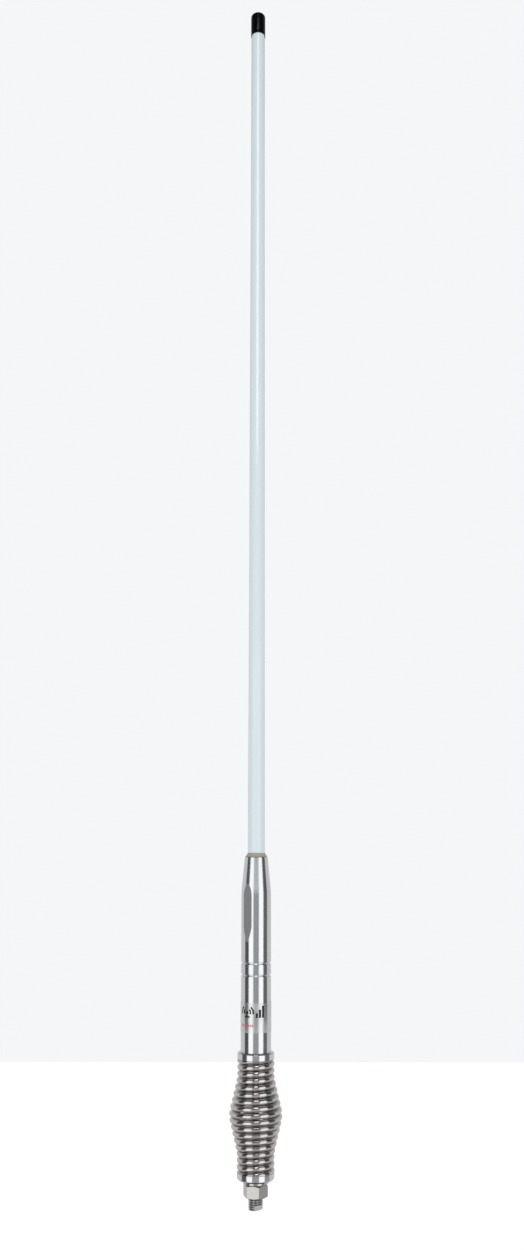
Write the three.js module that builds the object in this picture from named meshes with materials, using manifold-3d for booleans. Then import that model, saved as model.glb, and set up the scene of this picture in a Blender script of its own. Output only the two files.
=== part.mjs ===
// Heavy-duty sprung whip antenna: a fibreglass radome over a three-element collinear radiator,
// held in a steel ferrule on a barrel spring, with an M12 mounting stud, nut and lock washer.
// Millimetres, +Z up along the antenna. The origin is the middle of the lower collar's
// underside, which is the face that sits on a mounting bracket.

import * as THREE from 'three';
import { mergeVertices } from 'three/addons/utils/BufferGeometryUtils.js';
import Module from 'manifold-3d';

const wasm = await Module();
wasm.setup();

// ---- driving dimensions ----

const CLEAR = 0.3;                 // gap between pieces that are cut by or rest on each other
const SLIP = 0.15;                 // radial gap between turned pieces on one axis

const STUD_R = 6.0;                // M12 x 1.75 mounting stud
const STUD_PITCH = 1.75;
const THREAD_DEPTH = 0.95;
const STUD_END = -23.0;
const STUD_TOP = 9.0;
const STUD_FLAT = 3.6;             // distance of the end flat from the axis
const STUD_FLAT_TOP = -19.0;
const STUD_FLAT_ANGLE = -53;       // degrees from +X, direction that the flat faces
const STUD_NECK = 0.2;             // the thread stops this far above the collar's underside
const RIDGE_START = 0.1;           // shares of a pitch at which a thread ridge starts and
const RIDGE_CREST = 0.6;           // at which it is highest

const NUT_FLATS = 18.0;            // across flats
const NUT_HEIGHT = 10.5;
const NUT_TOP = -3.1;
const NUT_FACE_R = 8.2;            // flat ring left by the 30 degree chamfer on each face
const NUT_CHAMFER_SLOPE = Math.tan(Math.PI / 6);
const NUT_CORNER_ANGLE = -13.9;    // degrees from +X
const WASHER_TOP = -CLEAR;
const WASHER_HEIGHT = 2.5;
const WASHER_R = 10.2;
const WASHER_SPLIT = 1.2;
const WASHER_SPLIT_TILT = 20;      // degrees from upright
const WASHER_SPLIT_ANGLE = 70;     // degrees from +X

const COLLAR_R = 15.4;
const COLLAR_HEIGHT = 5.7;
const COLLAR_CHAMFER = 0.9;
const SEAT_R = 10.9;               // the underside is relieved inside this radius
const SEAT_RELIEF = 0.2;
const SPIGOT_R = 10.2;
const SPIGOT_HEIGHT = 5.8;

const WIRE_R = 2.425;              // barrel spring
const SPRING_END_R = 13.15;        // mean coil radius at the ends and at the waist
const SPRING_WAIST_R = 19.65;
const SPRING_PITCH = 5.175;
const SPRING_LENGTH = 88.0;
const SPRING_STRAIGHT = 14.5;      // length of the parallel part at each end
const SPRING_CROWN = 5.4;          // length of the widest part
const SPRING_FIRST_Z = 9.6;        // where the first coil crosses the -X side
const SPRING_FIRST_TURN = -0.8;    // the wire starts this many turns from there
const SPRING_STEPS = 15;           // steps in one turn
const SPRING_BOTTOM = COLLAR_HEIGHT;
const SPRING_TOP = SPRING_BOTTOM + SPRING_LENGTH;

const UPPER_COLLAR_TOP = SPRING_TOP + 5.6;

const FERRULE_R = 12.7;
const FERRULE_CHAMFER = 0.5;
const FERRULE_BOTTOM = UPPER_COLLAR_TOP + CLEAR;
const FERRULE_CONE_START = 229.0;
const FERRULE_TOP = 258.3;
const FERRULE_MOUTH_R = 9.8;
const FERRULE_BORE_R = 8.9;
const FERRULE_CHAMBER_BOTTOM = 113.5;
const GROOVE_HEIGHTS = [161.1, 170.8];
const GROOVE_HALF = 0.8;
const GROOVE_DEPTH = 0.8;
const SPANNER_FLATS = 24.0;        // across the two milled flats
const SPANNER_BOTTOM = 187.2;
const SPANNER_RUNOUT = 9.8;        // length over which the cutter leaves the metal
const SPANNER_ANGLE = -126.6;      // degrees from +X, direction that one flat faces

const LABEL_BOTTOM = 115.6;
const LABEL_TOP = 139.5;
const LABEL_THICK = 0.15;

const COUPLING_R = 5.0;            // M10 hollow stud between upper collar and ferrule
const COUPLING_PITCH = 1.5;
const COUPLING_DEPTH = 0.8;        // of its thread
const COUPLING_BOTTOM = 90.6;
const COUPLING_TOP = 112.6;
const CABLE_BORE_R = 2.6;

const ORING_MEAN_R = 8.2;
const ORING_SECTION_R = 0.9;

const RADOME_BOTTOM = 151.0;
const RADOME_TOP = 1074.0;
const RADOME_BASE_Z = 260.0;       // height at which the base radius is taken
const RADOME_BASE_R = 7.325;
const RADOME_TIP_Z = 1054.6;
const RADOME_TIP_R = 6.435;
const RADOME_WALL = 1.9;

const SEALANT_TOP = 261.7;
const SEALANT_R = 9.5;
const SEALANT_DEPTH = 1.5;         // how far it reaches into the ferrule's mouth
const SEALANT_LIP = 0.25;          // thickness at its upper edge
const SEALANT_HOLLOW = 0.6;        // power of the fillet's curve, lower for a deeper hollow

const CAP_R = 7.05;
const CAP_RIM = 1054.4;
const CAP_TOP = 1078.3;
const CAP_CORNER_R = 3.2;
const CAP_RIM_BREAK = 0.2;
const CAP_BORE_TOP = 1075.2;

const ELEMENT_R = 1.0;             // three half-wave elements with two phasing coils
const LOWER_ELEMENT = [138.0, 440.0];
const MIDDLE_ELEMENT = [470.0, 750.0];
const UPPER_ELEMENT = [780.0, 1060.0];
const COIL_WIRE_R = 0.45;
const COIL_TURNS = 5;
const FORMER_R = 3.2;
const FORMER_OVERLAP = 5.0;        // how far each element reaches into a former
const SPACER_HEIGHT = 6.0;
const SPACER_HEIGHTS = [250.0, 390.0, 530.0, 690.0, 850.0, 1000.0];

const CONDUCTOR_R = 0.45;          // coaxial jumper, 4.9 mm over the jacket
const DIELECTRIC_R = 1.45;
const BRAID_R = 1.75;
const JACKET_R = 2.45;
const LAYER_GAP = 0.05;
const JACKET = [-13.5, 116.0];     // each layer is stripped back further than the one inside
const BRAID = [-15.4, 121.5];
const DIELECTRIC = [-16.2, 130.0];
const CONDUCTOR = [-16.2, 134.5];

const ROUND = 36;                  // sides of the large turned pieces
const FINE = 24;                   // sides of the small ones
const SLIM = 12;                   // sides of wires and inner sleeves

// ---- helpers ----

const radians = THREE.MathUtils.degToRad;

// A turned piece from [radius, height] points, given anticlockwise: up the outside, down the bore.
function turned(profile, sides) {
  const points = profile.map(([r, z]) => new THREE.Vector2(r, z));
  return new THREE.LatheGeometry(points, sides).rotateX(Math.PI / 2);
}

// A plain tube or washer between two heights.
function sleeve(outer, inner, bottom, top, sides) {
  const profile = [[inner, bottom], [outer, bottom], [outer, top], [inner, top], [inner, bottom]];
  return turned(profile, sides);
}

function rod(radius, bottom, top, sides) {
  return turned([[0, bottom], [radius, bottom], [radius, top], [0, top]], sides);
}

// Regular polygon as a closed shape.
function polygon(radius, sides, turn = 0) {
  const corners = [];
  for (let i = 0; i < sides; i += 1) {
    const angle = turn + (2 * Math.PI * i) / sides;
    corners.push(new THREE.Vector2(radius * Math.cos(angle), radius * Math.sin(angle)));
  }
  return new THREE.Shape(corners);
}

// A wire or tube that follows a curve.
function alongCurve(curve, radius, sides, steps) {
  const options = { steps, extrudePath: curve, bevelEnabled: false };
  return new THREE.ExtrudeGeometry(polygon(radius, sides), options);
}

function solid(geometry) {
  const bare = geometry.clone();
  bare.deleteAttribute('normal');
  bare.deleteAttribute('uv');
  const merged = mergeVertices(bare, 1e-4);
  const vertProperties = merged.attributes.position.array;
  const triVerts = Uint32Array.from(merged.index.array);
  return new wasm.Manifold(new wasm.Mesh({ numProp: 3, vertProperties, triVerts }));
}

function geometryOf(manifold) {
  const mesh = manifold.getMesh();
  const geometry = new THREE.BufferGeometry();
  geometry.setAttribute('position', new THREE.BufferAttribute(mesh.vertProperties, 3));
  geometry.setIndex(new THREE.BufferAttribute(mesh.triVerts, 1));
  geometry.computeVertexNormals();
  return geometry;
}

function material(color, roughness, metalness) {
  return new THREE.MeshStandardMaterial({ color, roughness, metalness });
}

const finishes = {
  steel: () => material(0xc9ccce, 0.12, 1.0),
  springSteel: () => material(0xbfc2c5, 0.15, 1.0),
  zinc: () => material(0xb4b7b9, 0.35, 1.0),
  brass: () => material(0xb99a54, 0.35, 1.0),
  copper: () => material(0xb5704a, 0.4, 1.0),
  foil: () => material(0xd5d7d8, 0.3, 0.8),
  fibreglass: () => material(0xdbe6e8, 0.25, 0.0),
  vinyl: () => material(0x141516, 0.3, 0.0),
  sealant: () => material(0x9a9376, 0.7, 0.0),
  epoxy: () => material(0xc7a55c, 0.4, 0.0),
  nylon: () => material(0xeeeae0, 0.5, 0.0),
  rubber: () => material(0x1b1b1b, 0.8, 0.0),
};

const antenna = new THREE.Group();

function add(name, geometry, finish) {
  const mesh = new THREE.Mesh(geometry, finish());
  mesh.name = name;
  antenna.add(mesh);
}

// ---- threads ----

// Outside of a screw thread, as ridges from one height up to another.
function threadProfile(radius, pitch, depth, bottom, top) {
  const points = [];
  const count = Math.floor((top - bottom) / pitch);
  for (let i = 0; i < count; i += 1) {
    const z = bottom + i * pitch;
    points.push([radius - depth, z + RIDGE_START * pitch]);
    points.push([radius, z + RIDGE_CREST * pitch]);
  }
  return points;
}

// ---- mounting stud, nut and washer ----

// The tool that leaves one flat face at a distance from the axis.
function flatCutter(distance, reach, bottom, top, angle) {
  const size = 2 * reach;
  const box = new THREE.BoxGeometry(size, size, top - bottom);
  box.translate(distance + reach, 0, (bottom + top) / 2);
  return solid(box.rotateZ(radians(angle)));
}

function baseStud() {
  const core = STUD_R - THREAD_DEPTH;
  const profile = [
    [CABLE_BORE_R, STUD_END],
    [core, STUD_END],
    ...threadProfile(STUD_R, STUD_PITCH, THREAD_DEPTH, STUD_END, 0),
    [core, STUD_NECK],
    [core, STUD_TOP],
    [CABLE_BORE_R, STUD_TOP],
    [CABLE_BORE_R, STUD_END],
  ];
  const cutter = flatCutter(STUD_FLAT, STUD_R, STUD_END - 1, STUD_FLAT_TOP, STUD_FLAT_ANGLE);
  return geometryOf(solid(turned(profile, FINE)).subtract(cutter));
}

function mountingNut() {
  const corner = NUT_FLATS / Math.sqrt(3);
  const bottom = NUT_TOP - NUT_HEIGHT;
  const hex = new THREE.ExtrudeGeometry(polygon(corner, 6, radians(NUT_CORNER_ANGLE)), {
    depth: NUT_HEIGHT,
    bevelEnabled: false,
  }).translate(0, 0, bottom);
  const chamfer = NUT_CHAMFER_SLOPE * (corner + SLIP - NUT_FACE_R);
  const bore = STUD_R + CLEAR;
  const chamfered = turned([
    [bore, bottom],
    [NUT_FACE_R, bottom],
    [corner + SLIP, bottom + chamfer],
    [corner + SLIP, NUT_TOP - chamfer],
    [NUT_FACE_R, NUT_TOP],
    [bore, NUT_TOP],
    [bore, bottom],
  ], ROUND);
  return geometryOf(solid(hex).intersect(solid(chamfered)));
}

function lockWasher() {
  const bottom = WASHER_TOP - WASHER_HEIGHT;
  const ring = sleeve(WASHER_R, STUD_R + CLEAR + SLIP, bottom, WASHER_TOP, ROUND);
  const split = new THREE.BoxGeometry(WASHER_R, WASHER_SPLIT, 2 * WASHER_HEIGHT);
  split.rotateX(radians(WASHER_SPLIT_TILT));
  split.translate(WASHER_R - 1, 0, bottom + WASHER_HEIGHT / 2);
  split.rotateZ(radians(WASHER_SPLIT_ANGLE));
  return geometryOf(solid(ring).subtract(solid(split)));
}

// ---- coaxial socket in the stud's end ----

const SOCKET_BOTTOM = STUD_END + CLEAR;
const SOCKET_TOP = -13.8;
const SOCKET_BORE_R = 1.95;
const SOCKET_SEAT = [-19.5, -16.6];
const CONTACT_TIP = -21.8;
const CONTACT_TOP = -16.4;

function socketPieces() {
  const shell = sleeve(CABLE_BORE_R - SLIP, SOCKET_BORE_R, SOCKET_BOTTOM, SOCKET_TOP, SLIM * 2);
  add('socket_shell', shell, finishes.brass);
  const core = sleeve(BRAID_R + LAYER_GAP, CONDUCTOR_R + 2 * LAYER_GAP, ...SOCKET_SEAT, SLIM);
  add('socket_insulator', core, finishes.nylon);
  add('centre_contact', rod(CONDUCTOR_R, CONTACT_TIP, CONTACT_TOP, SLIM), finishes.brass);
}

// ---- spring and its collars ----

function lowerCollar() {
  return turned([
    [STUD_R + SLIP, SEAT_RELIEF],
    [SEAT_R, SEAT_RELIEF],
    [SEAT_R, 0],
    [COLLAR_R - COLLAR_CHAMFER, 0],
    [COLLAR_R, COLLAR_CHAMFER],
    [COLLAR_R, COLLAR_HEIGHT],
    [SPIGOT_R, COLLAR_HEIGHT],
    [SPIGOT_R, COLLAR_HEIGHT + SPIGOT_HEIGHT],
    [CABLE_BORE_R, COLLAR_HEIGHT + SPIGOT_HEIGHT],
    [CABLE_BORE_R, STUD_TOP + CLEAR],
    [STUD_R + SLIP, STUD_TOP + CLEAR],
    [STUD_R + SLIP, SEAT_RELIEF],
  ], ROUND);
}

function upperCollar() {
  const spigotEnd = SPRING_TOP - SPIGOT_HEIGHT;
  return turned([
    [CABLE_BORE_R, spigotEnd],
    [SPIGOT_R, spigotEnd],
    [SPIGOT_R, SPRING_TOP],
    [COLLAR_R, SPRING_TOP],
    [COLLAR_R, UPPER_COLLAR_TOP - COLLAR_CHAMFER],
    [COLLAR_R - COLLAR_CHAMFER, UPPER_COLLAR_TOP],
    [COUPLING_R + SLIP, UPPER_COLLAR_TOP],
    [COUPLING_R + SLIP, COUPLING_BOTTOM - CLEAR],
    [CABLE_BORE_R, COUPLING_BOTTOM - CLEAR],
    [CABLE_BORE_R, spigotEnd],
  ], ROUND);
}

// Mean coil radius of the barrel spring: parallel ends, conical flanks, a short wide crown.
function coilRadius(z) {
  const fromEnd = Math.min(z - SPRING_BOTTOM, SPRING_TOP - z);
  const flank = (SPRING_LENGTH - SPRING_CROWN) / 2 - SPRING_STRAIGHT;
  const rise = THREE.MathUtils.clamp((fromEnd - SPRING_STRAIGHT) / flank, 0, 1);
  return SPRING_END_R + rise * (SPRING_WAIST_R - SPRING_END_R);
}

class SpringCurve extends THREE.Curve {
  constructor(firstTurn, lastTurn) {
    super();
    this.firstTurn = firstTurn;
    this.lastTurn = lastTurn;
  }

  getPoint(t, target = new THREE.Vector3()) {
    const turn = THREE.MathUtils.lerp(this.firstTurn, this.lastTurn, t);
    const z = SPRING_FIRST_Z + SPRING_PITCH * turn;
    const angle = Math.PI + 2 * Math.PI * turn;
    const r = coilRadius(z);
    return target.set(r * Math.cos(angle), r * Math.sin(angle), z);
  }
}

// The end coils are ground flat where they bear on the collars.
function barrelSpring() {
  const turns = (SPRING_TOP + SPRING_BOTTOM - 2 * SPRING_FIRST_Z) / SPRING_PITCH;
  const lastTurn = turns - SPRING_FIRST_TURN;
  const steps = Math.round((lastTurn - SPRING_FIRST_TURN) * SPRING_STEPS);
  const coil = alongCurve(new SpringCurve(SPRING_FIRST_TURN, lastTurn), WIRE_R, 6, steps);
  const reach = 2 * (SPRING_WAIST_R + 2 * WIRE_R);
  const slab = new THREE.BoxGeometry(reach, reach, SPRING_LENGTH - 2 * CLEAR);
  slab.translate(0, 0, (SPRING_BOTTOM + SPRING_TOP) / 2);
  return geometryOf(solid(coil).intersect(solid(slab)));
}

// ---- coaxial jumper from the socket, through the spring, to the radiator ----

function coaxPieces() {
  const jacket = sleeve(JACKET_R, BRAID_R + LAYER_GAP, ...JACKET, SLIM);
  add('coax_jacket', jacket, finishes.rubber);
  const braid = sleeve(BRAID_R, DIELECTRIC_R + LAYER_GAP, ...BRAID, SLIM);
  add('coax_braid', braid, finishes.copper);
  const dielectric = sleeve(DIELECTRIC_R, CONDUCTOR_R + LAYER_GAP, ...DIELECTRIC, SLIM);
  add('coax_dielectric', dielectric, finishes.nylon);
  add('coax_conductor', rod(CONDUCTOR_R, ...CONDUCTOR, SLIM), finishes.copper);
}

// ---- ferrule and what it holds ----

const SHIELD_RING = [118.0, 120.5];
const FEED_INSULATOR = [131.0, 149.0];
const FEED_PIN = [131.5, 144.0];
const FEED_PIN_R = 1.7;

function couplingStud() {
  const core = COUPLING_R - COUPLING_DEPTH;
  const ridges = [COUPLING_R, COUPLING_PITCH, COUPLING_DEPTH, COUPLING_BOTTOM, COUPLING_TOP];
  return turned([
    [CABLE_BORE_R, COUPLING_BOTTOM],
    [core, COUPLING_BOTTOM],
    ...threadProfile(...ridges),
    [core, COUPLING_TOP],
    [CABLE_BORE_R, COUPLING_TOP],
    [CABLE_BORE_R, COUPLING_BOTTOM],
  ], FINE);
}

function oRing() {
  const section = [];
  for (let i = 0; i <= 8; i += 1) {
    const angle = (2 * Math.PI * i) / 8;
    const r = ORING_MEAN_R + ORING_SECTION_R * Math.cos(angle);
    section.push([r, FERRULE_BOTTOM + ORING_SECTION_R + ORING_SECTION_R * Math.sin(angle)]);
  }
  return turned(section, FINE);
}

// A cutter that leaves a milled flat with a swept run-out at its lower end. Its upper end runs
// out by itself where the ferrule narrows.
function spannerCutter(angle) {
  const flat = SPANNER_FLATS / 2;
  const depth = FERRULE_R - flat;
  const outline = [];
  for (let i = 0; i <= 6; i += 1) {
    const share = i / 6;
    const z = SPANNER_BOTTOM + SPANNER_RUNOUT * share;
    outline.push(new THREE.Vector2(FERRULE_R - depth * (1 - (1 - share) ** 2), z));
  }
  const reach = 1.5 * FERRULE_R;
  outline.push(new THREE.Vector2(flat, FERRULE_TOP + 1));
  outline.push(new THREE.Vector2(reach, FERRULE_TOP + 1));
  outline.push(new THREE.Vector2(reach, SPANNER_BOTTOM));
  const width = 2 * FERRULE_R;
  const cutter = new THREE.ExtrudeGeometry(new THREE.Shape(outline), {
    depth: width,
    bevelEnabled: false,
  });
  cutter.translate(0, 0, -width / 2).rotateX(Math.PI / 2).rotateZ(radians(angle));
  return solid(cutter);
}

function ferrule() {
  const groove = (z) => [
    [FERRULE_R, z - GROOVE_HALF],
    [FERRULE_R - GROOVE_DEPTH, z],
    [FERRULE_R, z + GROOVE_HALF],
  ];
  const sealGroove = ORING_SECTION_R + SLIP;
  const sealTop = FERRULE_BOTTOM + 2 * ORING_SECTION_R + SLIP;
  const profile = [
    [COUPLING_R + SLIP, FERRULE_BOTTOM],
    [ORING_MEAN_R - sealGroove, FERRULE_BOTTOM],
    [ORING_MEAN_R - sealGroove, sealTop],
    [ORING_MEAN_R + sealGroove, sealTop],
    [ORING_MEAN_R + sealGroove, FERRULE_BOTTOM],
    [FERRULE_R - FERRULE_CHAMFER, FERRULE_BOTTOM],
    [FERRULE_R, FERRULE_BOTTOM + FERRULE_CHAMFER],
    ...GROOVE_HEIGHTS.flatMap(groove),
    [FERRULE_R, FERRULE_CONE_START],
    [FERRULE_MOUTH_R, FERRULE_TOP],
    [FERRULE_BORE_R, FERRULE_TOP],
    [FERRULE_BORE_R, FERRULE_CHAMBER_BOTTOM],
    [COUPLING_R + SLIP, FERRULE_CHAMBER_BOTTOM],
    [COUPLING_R + SLIP, FERRULE_BOTTOM],
  ];
  const front = spannerCutter(SPANNER_ANGLE);
  const back = spannerCutter(SPANNER_ANGLE + 180);
  return geometryOf(solid(turned(profile, ROUND)).subtract(front).subtract(back));
}

function feedPieces() {
  const inside = FERRULE_BORE_R - SLIP;
  add('shield_ring', sleeve(inside, BRAID_R + SLIP, ...SHIELD_RING, FINE), finishes.brass);
  const insulator = sleeve(inside, FEED_PIN_R + SLIP, ...FEED_INSULATOR, FINE);
  add('feed_insulator', insulator, finishes.nylon);
  const waist = LOWER_ELEMENT[0] - CLEAR;
  const pin = turned([
    [CONDUCTOR_R + SLIP, FEED_PIN[0]],
    [FEED_PIN_R, FEED_PIN[0]],
    [FEED_PIN_R, FEED_PIN[1]],
    [ELEMENT_R + SLIP, FEED_PIN[1]],
    [ELEMENT_R + SLIP, waist],
    [CONDUCTOR_R + SLIP, waist],
    [CONDUCTOR_R + SLIP, FEED_PIN[0]],
  ], SLIM);
  add('feed_pin', pin, finishes.brass);
}

// ---- radome, seal and cap ----

function radomeRadius(z) {
  const slope = (RADOME_TIP_R - RADOME_BASE_R) / (RADOME_TIP_Z - RADOME_BASE_Z);
  return RADOME_BASE_R + slope * (z - RADOME_BASE_Z);
}

function radome() {
  return turned([
    [radomeRadius(RADOME_BOTTOM) - RADOME_WALL, RADOME_BOTTOM],
    [radomeRadius(RADOME_BOTTOM), RADOME_BOTTOM],
    [radomeRadius(RADOME_TOP), RADOME_TOP],
    [radomeRadius(RADOME_TOP) - RADOME_WALL, RADOME_TOP],
    [radomeRadius(RADOME_BOTTOM) - RADOME_WALL, RADOME_BOTTOM],
  ], FINE);
}

function pottingSleeve() {
  const bore = radomeRadius(RADOME_BOTTOM) + SLIP;
  return sleeve(FERRULE_BORE_R - SLIP, bore, RADOME_BOTTOM + 1, FERRULE_TOP - 2, FINE);
}

// A hand-run fillet of sealant, concave between the ferrule's mouth and the radome.
function sealantBead() {
  const bore = radomeRadius(FERRULE_TOP - 2) + SLIP;
  const seat = FERRULE_TOP + CLEAR / 2;
  const outside = FERRULE_BORE_R - SLIP;
  const bottom = FERRULE_TOP - SEALANT_DEPTH;
  const profile = [[bore, bottom], [outside, bottom], [outside, seat]];
  for (let i = 0; i <= 4; i += 1) {
    const share = i / 4;
    const r = THREE.MathUtils.lerp(SEALANT_R, bore + SEALANT_LIP, share ** SEALANT_HOLLOW);
    profile.push([r, THREE.MathUtils.lerp(seat, SEALANT_TOP, share)]);
  }
  profile.push([bore, SEALANT_TOP], [bore, bottom]);
  return turned(profile, FINE);
}

function tipCap() {
  const bore = radomeRadius(CAP_RIM) + SLIP;
  const corner = [];
  for (let i = 0; i <= 6; i += 1) {
    const angle = (Math.PI / 2) * (i / 6);
    const r = CAP_R - CAP_CORNER_R + CAP_CORNER_R * Math.cos(angle);
    corner.push([r, CAP_TOP - CAP_CORNER_R + CAP_CORNER_R * Math.sin(angle)]);
  }
  return turned([
    [0, CAP_BORE_TOP],
    [bore, CAP_BORE_TOP],
    [bore, CAP_RIM],
    [CAP_R - CAP_RIM_BREAK, CAP_RIM],
    [CAP_R, CAP_RIM + CAP_RIM_BREAK],
    ...corner,
    [0, CAP_TOP],
  ], FINE);
}

// ---- radiator ----

class PhasingCurve extends THREE.Curve {
  constructor(bottom, height) {
    super();
    this.bottom = bottom;
    this.height = height;
  }

  // The wire spirals out from the lower element, winds up the former and spirals in again.
  getPoint(t, target = new THREE.Vector3()) {
    const lead = 0.5;
    const turn = t * (COIL_TURNS + 2 * lead);
    const wound = THREE.MathUtils.clamp((turn - lead) / COIL_TURNS, 0, 1);
    const fromEnd = Math.min(turn, COIL_TURNS + 2 * lead - turn);
    const near = ELEMENT_R + COIL_WIRE_R + CLEAR;
    const far = FORMER_R + COIL_WIRE_R + SLIP;
    const r = THREE.MathUtils.lerp(near, far, Math.min(1, fromEnd / lead));
    const angle = 2 * Math.PI * turn;
    return target.set(r * Math.cos(angle), r * Math.sin(angle), this.bottom + this.height * wound);
  }
}

// A phasing section: a plastic former that joins two elements, with its winding.
function phasingSection(place, below, above) {
  const bottom = below - FORMER_OVERLAP;
  const top = above + FORMER_OVERLAP;
  const bore = ELEMENT_R + SLIP;
  const former = turned([
    [bore, bottom],
    [FORMER_R, bottom],
    [FORMER_R, top],
    [bore, top],
    [bore, bottom],
  ], SLIM);
  add(`${place}_coil_former`, former, finishes.nylon);
  const stand = COIL_WIRE_R + SLIP;
  const curve = new PhasingCurve(bottom - stand, top - bottom + 2 * stand);
  const winding = alongCurve(curve, COIL_WIRE_R, 5, (COIL_TURNS + 1) * 14);
  add(`${place}_phasing_coil`, winding, finishes.copper);
}

function radiator() {
  add('lower_element', rod(ELEMENT_R, ...LOWER_ELEMENT, SLIM), finishes.brass);
  add('middle_element', rod(ELEMENT_R, ...MIDDLE_ELEMENT, SLIM), finishes.brass);
  add('upper_element', rod(ELEMENT_R, ...UPPER_ELEMENT, SLIM), finishes.brass);
  phasingSection('lower', LOWER_ELEMENT[1], MIDDLE_ELEMENT[0]);
  phasingSection('upper', MIDDLE_ELEMENT[1], UPPER_ELEMENT[0]);
  SPACER_HEIGHTS.forEach((z, i) => {
    const outer = radomeRadius(z + SPACER_HEIGHT) - RADOME_WALL - SLIP;
    const disc = sleeve(outer, ELEMENT_R + SLIP, z, z + SPACER_HEIGHT, SLIM);
    add(`element_spacer_${i + 1}`, disc, finishes.nylon);
  });
}

// ---- assembly, from the stud upwards ----

add('base_stud', baseStud(), finishes.zinc);
socketPieces();
add('mounting_nut', mountingNut(), finishes.steel);
add('lock_washer', lockWasher(), finishes.steel);
add('lower_collar', lowerCollar(), finishes.steel);
add('barrel_spring', barrelSpring(), finishes.springSteel);
coaxPieces();
add('upper_collar', upperCollar(), finishes.steel);
add('coupling_stud', couplingStud(), finishes.zinc);
add('collar_o_ring', oRing(), finishes.rubber);
add('ferrule', ferrule(), finishes.steel);
const labelInner = FERRULE_R + LAYER_GAP;
const labelOuter = labelInner + LABEL_THICK;
const label = sleeve(labelOuter, labelInner, LABEL_BOTTOM, LABEL_TOP, ROUND);
add('ferrule_label', label, finishes.foil);
feedPieces();
add('potting_sleeve', pottingSleeve(), finishes.epoxy);
add('sealant_bead', sealantBead(), finishes.sealant);
add('radome', radome(), finishes.fibreglass);
radiator();
add('tip_cap', tipCap(), finishes.vinyl);

export default antenna;
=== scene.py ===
import math

import bmesh
import bpy
from mathutils import Matrix, Vector


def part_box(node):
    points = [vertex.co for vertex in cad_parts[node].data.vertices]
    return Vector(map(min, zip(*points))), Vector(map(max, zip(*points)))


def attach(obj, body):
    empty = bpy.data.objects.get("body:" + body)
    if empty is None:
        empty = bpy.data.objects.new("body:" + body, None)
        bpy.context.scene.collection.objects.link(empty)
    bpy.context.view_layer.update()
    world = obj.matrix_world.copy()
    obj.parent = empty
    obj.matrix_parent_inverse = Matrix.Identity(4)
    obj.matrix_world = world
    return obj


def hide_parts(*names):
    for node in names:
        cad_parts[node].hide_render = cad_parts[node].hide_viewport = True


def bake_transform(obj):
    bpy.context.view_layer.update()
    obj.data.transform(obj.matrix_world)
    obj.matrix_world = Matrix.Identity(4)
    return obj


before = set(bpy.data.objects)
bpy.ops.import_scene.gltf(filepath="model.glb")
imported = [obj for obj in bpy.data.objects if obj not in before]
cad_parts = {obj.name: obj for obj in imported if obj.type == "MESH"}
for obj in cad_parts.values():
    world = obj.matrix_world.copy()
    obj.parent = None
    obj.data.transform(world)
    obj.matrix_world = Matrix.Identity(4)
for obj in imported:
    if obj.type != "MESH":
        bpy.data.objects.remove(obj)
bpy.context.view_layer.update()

bl_info = {
    "name": "Sprung whip antenna",
    "version": (1, 0, 0),
    "blender": (4, 5, 0),
    "location": "3D View > Sidebar > Antenna",
    "description": "Builds the visible pieces of a sprung whip antenna around its packed frame",
    "category": "Add Mesh",
}

MM = 0.001
THREAD_DEPTH = 0.6134    # depth of an outside metric thread, as a share of its pitch


# ---- sizes read from the frame, in millimetres ----

def span(node):
    """Lowest and highest point of a CAD node along the antenna."""
    low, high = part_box(node)
    return low.z / MM, high.z / MM


def radii(node):
    """Smallest and largest distance of a CAD node's points from the antenna's axis."""
    reach = [math.hypot(v.co.x, v.co.y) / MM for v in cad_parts[node].data.vertices]
    return min(reach), max(reach)


STUD_END, STUD_TOP = span("base_stud")
LOWER_FLANGE = 5.7       # thickness of each collar outside the spring
UPPER_FLANGE = 5.6
SPRING_BOTTOM = span("lower_collar")[0] + LOWER_FLANGE
SPRING_TOP = span("upper_collar")[1] - UPPER_FLANGE
SPRING_MIDDLE = (SPRING_BOTTOM + SPRING_TOP) / 2


# ---- settings a user may change ----

def linear(code):
    """Linear RGB of an sRGB hex colour."""
    parts = [int(code[i:i + 2], 16) / 255 for i in (1, 3, 5)]
    return tuple(c / 12.92 if c <= 0.04045 else ((c + 0.055) / 1.055) ** 2.4 for c in parts)


def length(name, description, default):
    return bpy.props.FloatProperty(
        name=name, description=description, default=default * MM, min=0.0,
        unit="LENGTH", subtype="DISTANCE", precision=5)


def colour(name, description, code):
    return bpy.props.FloatVectorProperty(
        name=name, description=description, default=linear(code), size=3,
        min=0.0, max=1.0, subtype="COLOR")


class AntennaSizes(bpy.types.PropertyGroup):
    wire: length("Spring wire", "Diameter of the barrel spring's wire", 4.85)
    pitch: length("Spring pitch", "Rise of the spring in one turn", 5.175)
    end_radius: length("Spring end radius", "Mean coil radius at both ends", 13.15)
    crown_radius: length("Spring crown radius", "Mean coil radius at the widest part", 19.65)
    parallel: length("Parallel ends", "Length of the straight part at each spring end", 14.5)
    crown: length("Crown", "Length of the spring's widest part", 5.4)
    thread_pitch: length("Thread pitch", "Pitch of the mounting stud's thread", 1.75)
    groove_width: length("Groove width", "Width of the two grooves turned in the ferrule", 1.9)
    groove_depth: length("Groove depth", "Depth of the two grooves", 0.9)
    edge: length("Edge break", "Radius that the polished edges are broken to", 0.2)
    collar_edge: length("Collar chamfer", "Chamfer at each collar's outer end", 0.9)
    nut_flats: length("Nut flats", "Distance across the nut's flats", 18.0)


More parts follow.
